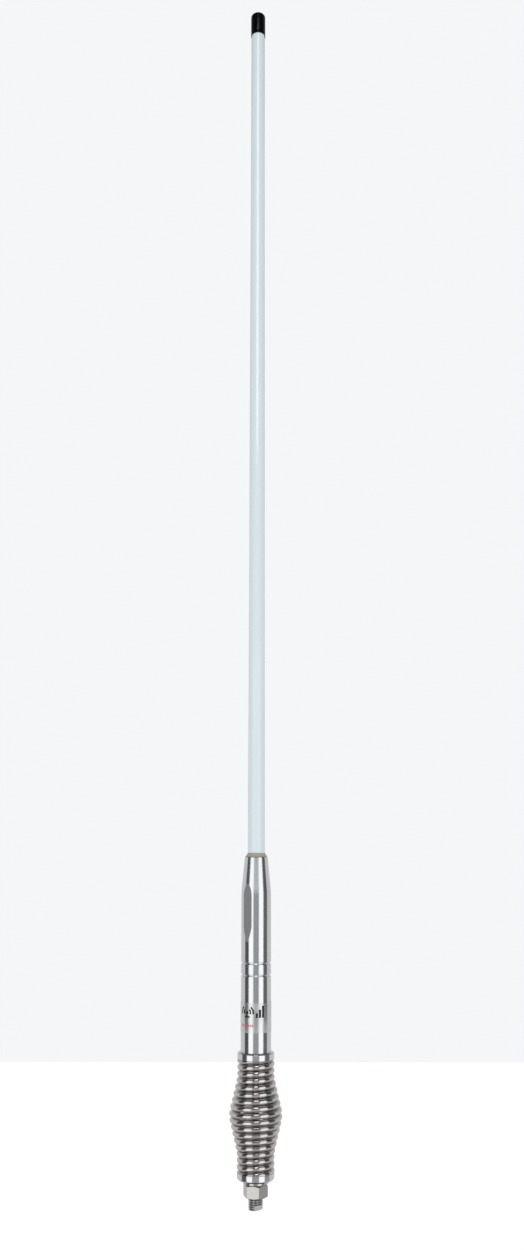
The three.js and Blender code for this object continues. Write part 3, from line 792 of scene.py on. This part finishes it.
class ANTENNA_OT_spring(PieceOperator, bpy.types.Operator):
    """Barrel spring, made as two halves that meet in the middle"""
    bl_idname = "antenna.spring"
    bl_label = "Barrel spring"

    first_z = 9.6            # height at which the first full coil crosses the -X side
    first_turn = -1.2
    per_turn = 60
    around_wire = 24

    def coil_radius(self, z, sizes):
        """Mean coil radius: parallel ends, conical flanks and a short crown, eased together."""
        straight, crown = sizes.parallel / MM, sizes.crown / MM
        end, widest = sizes.end_radius / MM, sizes.crown_radius / MM
        flank = (SPRING_TOP - SPRING_BOTTOM - crown) / 2 - straight
        total = 0.0
        for nearby in (z - 2.0, z - 0.7, z + 0.7, z + 2.0):
            from_end = min(nearby - SPRING_BOTTOM, SPRING_TOP - nearby)
            total += min(1.0, max(0.0, (from_end - straight) / flank))
        return end + total / 4 * (widest - end)

    def coil(self, start, end, sizes):
        """A stretch of the coil between two turn numbers."""
        wire, pitch = sizes.wire / MM / 2, sizes.pitch / MM
        base = sizes.end_radius / MM
        steps = round((end - start) * self.per_turn)
        bm = bmesh.new()
        bmesh.ops.create_circle(bm, segments=self.around_wire, radius=wire * MM)
        bmesh.ops.rotate(bm, verts=bm.verts, cent=(0, 0, 0),
                         matrix=Matrix.Rotation(math.pi / 2, 3, "X"))
        height = self.first_z + pitch * start
        bmesh.ops.translate(bm, verts=bm.verts, vec=(base * MM, 0, height * MM))
        bmesh.ops.rotate(bm, verts=bm.verts, cent=(0, 0, 0),
                         matrix=Matrix.Rotation(math.pi + 2 * math.pi * start, 3, "Z"))
        step_rise = pitch * MM * (end - start) / steps
        bmesh.ops.spin(bm, geom=bm.verts[:] + bm.edges[:], cent=(0, 0, 0), axis=(0, 0, 1),
                       dvec=(0, 0, step_rise), angle=2 * math.pi * (end - start),
                       steps=steps, use_merge=False)
        for v in bm.verts:
            turn = math.atan2(v.co.y, v.co.x) / (2 * math.pi) - 0.5
            turn += round((v.co.z / MM - self.first_z) / pitch - turn)
            centre = self.first_z + pitch * turn
            grow = self.coil_radius(centre, sizes) - base
            flat = Vector((v.co.x, v.co.y, 0)).normalized()
            v.co += flat * grow * MM
        fill_open(bm)
        return bm

    def make(self, sizes, colours):
        pitch = sizes.pitch / MM
        last_turn = (SPRING_TOP + SPRING_BOTTOM - 2 * self.first_z) / pitch - self.first_turn
        middle_turn = (SPRING_MIDDLE - self.first_z) / pitch
        wire = sizes.wire / MM / 2
        steel = spring_wire(colours.spring)
        lower = self.coil(self.first_turn, middle_turn, sizes)
        cut(lower, (0, 0, SPRING_BOTTOM + 0.3), (0, 0, -1))
        piece = to_object("spring_lower_half", lower, sharp=50.0)
        place(piece, [steel], ("base", "spring_core", SPRING_BOTTOM + 2, SPRING_MIDDLE - wire),
              ["barrel_spring"])
        upper = self.coil(middle_turn, last_turn, sizes)
        cut(upper, (0, 0, SPRING_TOP - 0.3), (0, 0, 1))
        piece = to_object("spring_upper_half", upper, sharp=50.0)
        place(piece, [steel], ("spring_core", "whip", SPRING_MIDDLE + wire, SPRING_TOP - 2),
              ["barrel_spring"])


class ANTENNA_OT_jumper(PieceOperator, bpy.types.Operator):
    """Coaxial jumper inside the spring, each layer in two halves like the spring"""
    bl_idname = "antenna.jumper"
    bl_label = "Coaxial jumper"

    def make(self, sizes, colours):
        layers = {
            "coax_jacket": (plain_plastic("cable_vinyl", linear("#1A1A1B"), 0.45), "cable_vinyl"),
            "coax_braid": (woven_braid(linear("#C98A62")), "braid_copper"),
            "coax_dielectric": (plain_plastic("foam_dielectric", linear("#ECEAE2"), 0.6),
                                "white_nylon"),
            "coax_conductor": (drawn_metal("copper_wire", linear("#C98A62"), 0.3),
                               "braid_copper"),
        }
        wire = sizes.wire / MM / 2
        for node, (material, slot) in layers.items():
            inner, outer = radii(node)
            bottom, top = span(node)
            halves = (
                ("lower", bottom, SPRING_MIDDLE,
                 ("base", "spring_core", SPRING_BOTTOM + 2, SPRING_MIDDLE - wire)),
                ("upper", SPRING_MIDDLE, top,
                 ("spring_core", "whip", SPRING_MIDDLE + wire, SPRING_TOP - 2)),
            )
            for half, low, high, joint in halves:
                points = ring_points(inner, outer, low, high)
                bm = lathe(points, 32, closed=inner > 0)
                upright = [e for e in bm.edges
                           if abs(e.verts[0].co.z - e.verts[1].co.z) > 0.01]
                bmesh.ops.subdivide_edges(bm, edges=upright, cuts=40, use_grid_fill=True)
                piece = to_object(f"{node}_{half}_half", bm)
                place(piece, [material], joint, [node])


class ANTENNA_OT_stud(PieceOperator, bpy.types.Operator):
    """Hollow mounting stud with a rolled helical thread and a flat milled at its end"""
    bl_idname = "antenna.stud"
    bl_label = "Mounting stud"

    flat_distance = 3.6
    flat_top = -19.0
    flat_angle = math.radians(-53.0)

    def make(self, sizes, colours):
        cable, crest = radii("base_stud")
        pitch = sizes.thread_pitch / MM
        root = crest - THREAD_DEPTH * pitch
        bm = threaded_core(crest, root, pitch, STUD_END, STUD_TOP, 48)
        for v in bm.verts:
            reach = math.hypot(v.co.x, v.co.y) / MM
            allowed = crest - 0.4 + 0.9 * (v.co.z / MM - STUD_END)
            if reach > allowed:
                v.co.x *= allowed / reach
                v.co.y *= allowed / reach
        bore = bore_cutter(cable, STUD_END, STUD_TOP)
        flat = bmesh.new()
        bmesh.ops.create_cube(flat, size=20 * MM)
        bmesh.ops.translate(flat, verts=flat.verts,
                            vec=((self.flat_distance + 10) * MM, 0, (self.flat_top - 10) * MM))
        bmesh.ops.rotate(flat, verts=flat.verts, cent=(0, 0, 0),
                         matrix=Matrix.Rotation(self.flat_angle, 3, "Z"))
        bm = carve(bm, [bore, flat])
        facing = Vector((math.cos(self.flat_angle), math.sin(self.flat_angle), 0))
        for face in bm.faces:
            away = face.calc_center_median().dot(facing) / MM
            face.material_index = int(abs(away - self.flat_distance) < 0.01)
        piece = to_object("stud_threaded", bm, sharp=20.0)
        milled = drawn_metal("milled_end_flat", linear("#EFEFEC"), 0.55)
        place(piece, [thread_with_painted_root_shade(colours.nut, root, crest), milled], "base", ["base_stud"])


def bore_cutter(radius, low, high):
    """A rod that runs 2 mm past both ends of a bore."""
    rod = bmesh.new()
    bmesh.ops.create_cone(rod, cap_ends=True, segments=48, radius1=radius * MM,
                          radius2=radius * MM, depth=(high - low + 4) * MM)
    bmesh.ops.translate(rod, verts=rod.verts, vec=(0, 0, (low + high) / 2 * MM))
    return rod


def threaded_core(crest, root, pitch, bottom, top, per_turn):
    """A solid screw thread between two heights, wound right-handed round the axis."""
    ridge = [(root, 0.0), (root, 0.25), (crest, 0.5625), (crest, 0.6875), (root, 1.0)]
    turns = math.ceil((top - bottom) / pitch) + 3
    bm = bmesh.new()
    start = bottom - 2 * pitch
    points = [bm.verts.new((r * MM, 0, (start + share * pitch) * MM)) for r, share in ridge]
    edges = [bm.edges.new(pair) for pair in zip(points, points[1:])]
    bmesh.ops.spin(bm, geom=points + edges, cent=(0, 0, 0), axis=(0, 0, 1),
                   dvec=(0, 0, pitch * MM / per_turn), angle=2 * math.pi * turns,
                   steps=per_turn * turns, use_merge=False)
    bmesh.ops.remove_doubles(bm, verts=bm.verts, dist=1e-6)
    for height, side in ((bottom, -1), (top, 1)):
        cut(bm, (0, 0, height), (0, 0, side))
    return bm


class ANTENNA_OT_nut(PieceOperator, bpy.types.Operator):
    """Hex nut, chamfered on both faces"""
    bl_idname = "antenna.nut"
    bl_label = "Mounting nut"

    corner_angle = math.radians(-13.9)
    face = 8.2               # radius of the flat ring on each face

    def make(self, sizes, colours):
        bottom, top = span("mounting_nut")
        bore = radii("base_stud")[1] + 0.12
        flats = sizes.nut_flats / MM
        corner = flats / math.sqrt(3)
        face = self.face
        drop = math.tan(math.pi / 6) * (corner - face + 0.1)
        bm = lathe([(bore, bottom + 0.7), (bore + 0.7, bottom), (face, bottom),
                    (corner + 0.1, bottom + drop), (corner + 0.1, top - drop), (face, top),
                    (bore + 0.7, top), (bore, top - 0.7)], 144)
        for k in range(6):
            angle = self.corner_angle + math.radians(30 + 60 * k)
            normal = (math.cos(angle), math.sin(angle), 0)
            cut(bm, [flats / 2 * c for c in normal], normal)
        soften(bm, 0.16, segments=2, least=40.0)
        piece = to_object("nut_hex", bm, sharp=28.0)
        even_shading(piece)
        place(piece, [cold_formed_steel(colours.nut)], "nut", ["mounting_nut"])


class ANTENNA_OT_washer(PieceOperator, bpy.types.Operator):
    """Split lock washer under the collar"""
    bl_idname = "antenna.washer"
    bl_label = "Lock washer"

    split_angle = math.radians(70.0)
    split = math.radians(8.0)

    def make(self, sizes, colours):
        inner, outer = radii("lock_washer")
        bottom, top = span("lock_washer")
        bm = bmesh.new()
        corners = [bm.verts.new((r * MM, 0, z * MM))
                   for r, z in ring_points(inner, outer, bottom, top)]
        edges = [bm.edges.new((corners[i], corners[(i + 1) % 4])) for i in range(4)]
        bmesh.ops.rotate(bm, verts=bm.verts, cent=(0, 0, 0),
                         matrix=Matrix.Rotation(self.split_angle + self.split / 2, 3, "Z"))
        bmesh.ops.spin(bm, geom=corners + edges, cent=(0, 0, 0), axis=(0, 0, 1),
                       angle=2 * math.pi - self.split, steps=140, use_merge=False)
        fill_open(bm)
        soften(bm, 0.2, segments=2, least=40.0)
        piece = to_object("lock_washer_split", bm)
        even_shading(piece)
        place(piece, [drawn_metal("washer_steel", colours.nut, 0.2)], "washer", ["lock_washer"])


class ANTENNA_OT_socket(PieceOperator, bpy.types.Operator):
    """Coaxial socket in the end of the stud"""
    bl_idname = "antenna.socket"
    bl_label = "Coaxial socket"

    def make(self, sizes, colours):
        brass = drawn_metal("turned_brass", linear("#CDB06A"), 0.25)
        nylon = plain_plastic("white_nylon", linear("#EFECE3"), 0.5)
        inner, outer = radii("socket_shell")
        low, high = span("socket_shell")
        shell = lathe([(inner + 0.3, low), (outer, low), (outer, high), (inner, high),
                       (inner, low + 0.6)], 64)
        soften(shell, 0.05, segments=2)
        place(to_object("socket_barrel", shell), [brass], "base", ["socket_shell"])
        inner, outer = radii("socket_insulator")
        low, high = span("socket_insulator")
        bead = lathe(ring_points(inner, outer, low, high), 48)
        soften(bead, 0.08, segments=2)
        place(to_object("socket_bead", bead), [nylon], "base", ["socket_insulator"])
        outer = radii("centre_contact")[1]
        low, high = span("centre_contact")
        pin = lathe([(0.0, low), (outer * 0.45, low + 0.05), (outer, low + 0.5), (outer, high),
                     (0.0, high)], 32, closed=False)
        place(to_object("socket_pin", pin), [brass], "base", ["centre_contact"])


class ANTENNA_OT_inner(PieceOperator, bpy.types.Operator):
    """What the ferrule and the radome hold: stud, seal, feed, spacers and elements"""
    bl_idname = "antenna.inner"
    bl_label = "Inner pieces"

    def make(self, sizes, colours):
        brass = drawn_metal("turned_brass", linear("#CDB06A"), 0.25)
        rod_brass = drawn_metal("drawn_brass_rod", linear("#C9A45C"), 0.28)
        nylon = plain_plastic("white_nylon", linear("#EFECE3"), 0.5)
        resin = plain_plastic("cast_epoxy", linear("#C9AC69"), 0.3, grain=3.0)
        spacers = [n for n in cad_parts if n.startswith("element_spacer_")]
        groups = (
            (["shield_ring"], brass, "contact_brass"),
            (["feed_insulator", *spacers, "lower_coil_former", "upper_coil_former"], nylon,
             "white_nylon"),
            (["potting_sleeve"], resin, "epoxy"),
            (["lower_element", "middle_element", "upper_element"], rod_brass, "element_brass"),
        )
        for nodes, material, slot in groups:
            for node in nodes:
                inner, outer = radii(node)
                bm = lathe(ring_points(inner, outer, *span(node)), 64, closed=inner > 0)
                soften(bm, 0.12, segments=2, least=60.0)
                place(to_object(f"{node}_fine", bm), [material], "whip", [node])
        self.feed_pin(brass)
        self.seal()
        self.coupling(colours)

    def feed_pin(self, brass):
        inner, outer = radii("feed_pin")
        low, high = span("feed_pin")
        rod = radii("lower_element")[1] + 0.1
        step = span("lower_element")[0] - 0.3
        bm = lathe([(inner, low), (outer, low), (outer, high), (rod, high), (rod, step),
                    (inner, step)], 48)
        soften(bm, 0.08, segments=2, least=60.0)
        place(to_object("feed_pin_fine", bm), [brass], "whip", ["feed_pin"])

    def seal(self):
        inner, outer = radii("collar_o_ring")
        low, high = span("collar_o_ring")
        section = (outer - inner) / 2
        points = []
        for i in range(24):
            turn = 2 * math.pi * i / 24
            points.append(((inner + outer) / 2 + section * math.cos(turn),
                           (low + high) / 2 + section * math.sin(turn)))
        rubber = plain_plastic("nitrile_rubber", linear("#141414"), 0.7)
        place(to_object("o_ring_fine", lathe(points, 96)), [rubber], "whip",
              ["collar_o_ring"])

    coupling_pitch = 1.5

    def coupling(self, colours):
        cable, crest = radii("coupling_stud")
        low, high = span("coupling_stud")
        root = crest - THREAD_DEPTH * self.coupling_pitch
        bm = threaded_core(crest, root, self.coupling_pitch, low, high, 48)
        bore = bore_cutter(cable, low, high)
        piece = to_object("coupling_stud_fine", carve(bm, [bore]), sharp=20.0)
        place(piece, [thread_with_painted_root_shade(colours.nut, root, crest)], "whip", ["coupling_stud"])


class ANTENNA_OT_phasing(PieceOperator, bpy.types.Operator):
    """Copper windings between the elements"""
    bl_idname = "antenna.phasing"
    bl_label = "Phasing coils"

    turns = 5
    wire = 0.45

    def make(self, sizes, colours):
        copper = drawn_metal("copper_wire", linear("#C98A62"), 0.3)
        for node in ("lower_phasing_coil", "upper_phasing_coil"):
            low, high = span(node)
            outer = radii(node)[1]
            bm = bmesh.new()
            bmesh.ops.create_circle(bm, segments=14, radius=self.wire * MM)
            bmesh.ops.rotate(bm, verts=bm.verts, cent=(0, 0, 0),
                             matrix=Matrix.Rotation(math.pi / 2, 3, "X"))
            start = low + self.wire
            rise = high - low - 2 * self.wire
            bmesh.ops.translate(bm, verts=bm.verts,
                                vec=((outer - self.wire) * MM, 0, start * MM))
            steps = self.turns * 48
            bmesh.ops.spin(bm, geom=bm.verts[:] + bm.edges[:], cent=(0, 0, 0),
                           axis=(0, 0, 1), dvec=(0, 0, rise * MM / steps),
                           angle=2 * math.pi * self.turns, steps=steps, use_merge=False)
            fill_open(bm)
            piece = to_object(f"{node}_fine", bm, sharp=50.0)
            place(piece, [copper], "whip", [node])


class ANTENNA_OT_stage(bpy.types.Operator):
    """Pale floor, studio surroundings and the camera"""
    bl_idname = "antenna.stage"
    bl_label = "Stage"
    bl_options = {"REGISTER", "UNDO"}

    def execute(self, context):
        stage = context.scene.antenna_stage
        self.floor(stage)
        self.surroundings(context.scene, stage)
        # softboxes half a metre off, either side of the camera
        for side, name in ((-1, "left_softbox"), (1, "right_softbox")):
            turn = math.radians(38.5) * side
            place_at = (0.5 * math.sin(turn), -0.5 * math.cos(turn), 0.13)
            softbox = self.panel(name, place_at, (0.315, 0.78), stage.softbox)
            softbox.visible_diffuse = False
        strip = self.panel("overhead_strip", (0.0, -0.5, 1.13), (0.28, 0.66), stage.strip)
        strip.visible_diffuse = False
        front = self.panel("front_fill", (0.0, -1.0, 0.5), (0.8, 1.0), stage.front)
        front.visible_glossy = False
        self.camera(context.scene, stage)
        context.scene.view_settings.view_transform = "Standard"
        return {"FINISHED"}

    def panel(self, name, location, size, watts):
        """An upright area light that faces the antenna and can't itself be seen."""
        data = bpy.data.lights.new(name, "AREA")
        data.shape = "RECTANGLE"
        data.size, data.size_y = size
        data.energy = watts
        light = bpy.data.objects.new(name, data)
        light.location = location
        facing = Vector((-location[0], -location[1], 0.0))
        light.rotation_euler = facing.to_track_quat("-Z", "Y").to_euler()
        light.visible_camera = False
        bpy.context.scene.collection.objects.link(light)
        return light

    def floor(self, stage):
        """A broad white floor below the nut's travel. It stays out of the metal's reflections,
        which show the softboxes right down, as on a raised table."""
        bm = bmesh.new()
        bmesh.ops.create_grid(bm, x_segments=1, y_segments=1, size=1.0)
        reach = 6.0
        back = stage.floor_back
        bmesh.ops.scale(bm, verts=bm.verts, vec=(reach, (reach + back) / 2, 1.0))
        bmesh.ops.translate(bm, verts=bm.verts,
                            vec=(0, back - (reach + back) / 2, STUD_END * MM - stage.floor_drop))
        floor = to_object("studio_floor", bm)
        made, tree, shader = new_material("matt_white_floor", linear("#8C8C8C"), 0.9)
        if tree:
            shader.inputs["Emission Color"].default_value = (1.0, 1.0, 1.0, 1.0)
            shader.inputs["Emission Strength"].default_value = 0.85
        floor.data.materials.append(made)
        floor.visible_glossy = False
        floor.visible_diffuse = False
        floor.visible_shadow = False

    def surroundings(self, scene, stage):
        """The room: an even backdrop for the camera, an even fill for matt surfaces, and grey
        and dark bands for the metal to reflect."""
        world = bpy.data.worlds.new("studio")
        scene.world = world
        world.use_nodes = True
        tree = world.node_tree
        tree.nodes.clear()
        coords = put(tree, "ShaderNodeTexCoord")
        unit = put(tree, "ShaderNodeVectorMath", {0: coords.outputs["Generated"]},
                   operation="NORMALIZE")
        parts = put(tree, "ShaderNodeSeparateXYZ", {0: unit.outputs[0]})
        sideways = alone(tree, "ABSOLUTE", parts.outputs["X"])
        front = combine(tree, "MULTIPLY", parts.outputs["Y"], -1.0)
        turn = combine(tree, "DIVIDE", combine(tree, "ARCTAN2", sideways, front), math.pi)
        rise = combine(tree, "DIVIDE", alone(tree, "ARCSINE", parts.outputs["Z"]), math.pi)
        right = combine(tree, "GREATER_THAN", parts.outputs["X"], 0.0)
        low_right = combine(tree, "MULTIPLY", right, 0.4,
                            combine(tree, "LESS_THAN", rise, -13.5 / 180))
        dark = combine(tree, "ADD", combine(tree, "MULTIPLY", right, 0.05), 0.1)
        bands = self.ramp(tree, turn, [(0, 0.38), (58, 0.38), (64, 0.0), (91, 0.0),
                                       (95, 0.7), (180, 0.7)])
        around = combine(tree, "MAXIMUM", bands, dark, low_right)
        high = self.ramp(tree, turn, [(0, 0.6), (18, 0.7), (21, 0.38), (57, 0.38),
                                      (64, 0.12), (91, 0.12), (95, 0.7), (180, 0.7)])
        behind = self.ramp(tree, turn, [(0, 0.0), (91, 0.0), (95, 1.0), (180, 1.0)])
        rims = combine(tree, "MULTIPLY", behind, self.level(tree, rise, 33, 37, 0.5, 0.14))
        above = combine(tree, "MAXIMUM", rims, 0.04)
        middle = self.level(tree, rise, 1, 6, around, high)
        upper = self.level(tree, rise, 15, 21, middle, above)
        lower = self.level(tree, rise, -27, -22, 0.53, upper)
        everything = self.level(tree, rise, -60, -54, 0.06, lower)
        shown = put(tree, "ShaderNodeBackground", {"Color": everything, "Strength": 1.0})
        spread = put(tree, "ShaderNodeMapRange",
                     {"Value": front, "From Min": -1.0, "From Max": 1.0, "To Min": 0.8,
                      "To Max": 1.1})
        even = combine(tree, "MULTIPLY", spread.outputs["Result"], stage.fill)
        fill = put(tree, "ShaderNodeBackground", {"Color": even, "Strength": 1.0})
        seen = put(tree, "ShaderNodeBackground", {"Strength": 1.0})
        seen.inputs["Color"].default_value = (*stage.backdrop, 1.0)
        path = put(tree, "ShaderNodeLightPath")
        matt = put(tree, "ShaderNodeMixShader",
                   {0: path.outputs["Is Diffuse Ray"], 1: shown.outputs[0], 2: fill.outputs[0]})
        either = put(tree, "ShaderNodeMixShader",
                     {0: path.outputs["Is Camera Ray"], 1: matt.outputs[0], 2: seen.outputs[0]})
        put(tree, "ShaderNodeOutputWorld", {"Surface": either.outputs[0]})

    def ramp(self, tree, value, stops):
        """A grey ramp from (degrees, level) stops, over half a turn."""
        made = put(tree, "ShaderNodeValToRGB", {"Fac": value})
        elements = made.color_ramp.elements
        while len(elements) > 1:
            elements.remove(elements[-1])
        for i, (degrees, level) in enumerate(stops):
            element = elements[0] if i == 0 else elements.new(degrees / 180)
            element.position = degrees / 180
            element.color = (level, level, level, 1.0)
        return made.outputs["Color"]

    def level(self, tree, rise, low, high, below, above):
        """One value below a height in degrees and another above it."""
        share = put(tree, "ShaderNodeMapRange",
                    {"Value": rise, "From Min": low / 180, "From Max": high / 180})
        mixed = put(tree, "ShaderNodeMix", {0: share.outputs[0], "A": below, "B": above},
                    data_type="FLOAT")
        return mixed.outputs["Result"]

    def camera(self, scene, stage):
        data = bpy.data.cameras.new("camera")
        data.sensor_width = 36.0
        data.lens = stage.lens
        data.clip_start = 0.02
        data.clip_end = 50.0
        camera = bpy.data.objects.new("camera", data)
        camera.location = (stage.aside, -stage.distance, stage.height)
        camera.rotation_mode = "XYZ"
        look = Matrix.Rotation(math.pi / 2 + stage.tilt, 4, "X")
        spin = Matrix.Rotation(stage.roll, 4, "Z")
        camera.rotation_euler = (look @ spin).to_euler("XYZ")
        scene.collection.objects.link(camera)
        scene.camera = camera


PIECES = (
    ANTENNA_OT_stage, ANTENNA_OT_tip_cap, ANTENNA_OT_radome, ANTENNA_OT_sealant,
    ANTENNA_OT_ferrule, ANTENNA_OT_label, ANTENNA_OT_collars, ANTENNA_OT_spring,
    ANTENNA_OT_jumper, ANTENNA_OT_stud, ANTENNA_OT_nut, ANTENNA_OT_washer,
    ANTENNA_OT_socket, ANTENNA_OT_inner, ANTENNA_OT_phasing,
)


class ANTENNA_PT_panel(bpy.types.Panel):
    """Lists the antenna's settings and the operators that make its pieces"""
    bl_idname = "ANTENNA_PT_panel"
    bl_label = "Sprung whip antenna"
    bl_space_type = "VIEW_3D"
    bl_region_type = "UI"
    bl_category = "Antenna"

    def draw(self, context):
        for group in (context.scene.antenna_sizes, context.scene.antenna_colours,
                      context.scene.antenna_stage):
            box = self.layout.box()
            for name in group.__annotations__:
                box.prop(group, name)
        for piece in PIECES:
            self.layout.operator(piece.bl_idname)


GROUPS = (("antenna_sizes", AntennaSizes), ("antenna_colours", AntennaColours),
          ("antenna_stage", AntennaStage))


def register():
    for _, group in GROUPS:
        bpy.utils.register_class(group)
    for piece in (*PIECES, ANTENNA_PT_panel):
        bpy.utils.register_class(piece)
    for name, group in GROUPS:
        setattr(bpy.types.Scene, name, bpy.props.PointerProperty(type=group))


def unregister():
    for name, _ in GROUPS:
        delattr(bpy.types.Scene, name)
    for piece in (ANTENNA_PT_panel, *reversed(PIECES)):
        bpy.utils.unregister_class(piece)
    for _, group in reversed(GROUPS):
        bpy.utils.unregister_class(group)


def main():
    register()
    for piece in PIECES:
        category, name = piece.bl_idname.split(".")
        getattr(getattr(bpy.ops, category), name)()


if __name__ == "__main__":
    main()
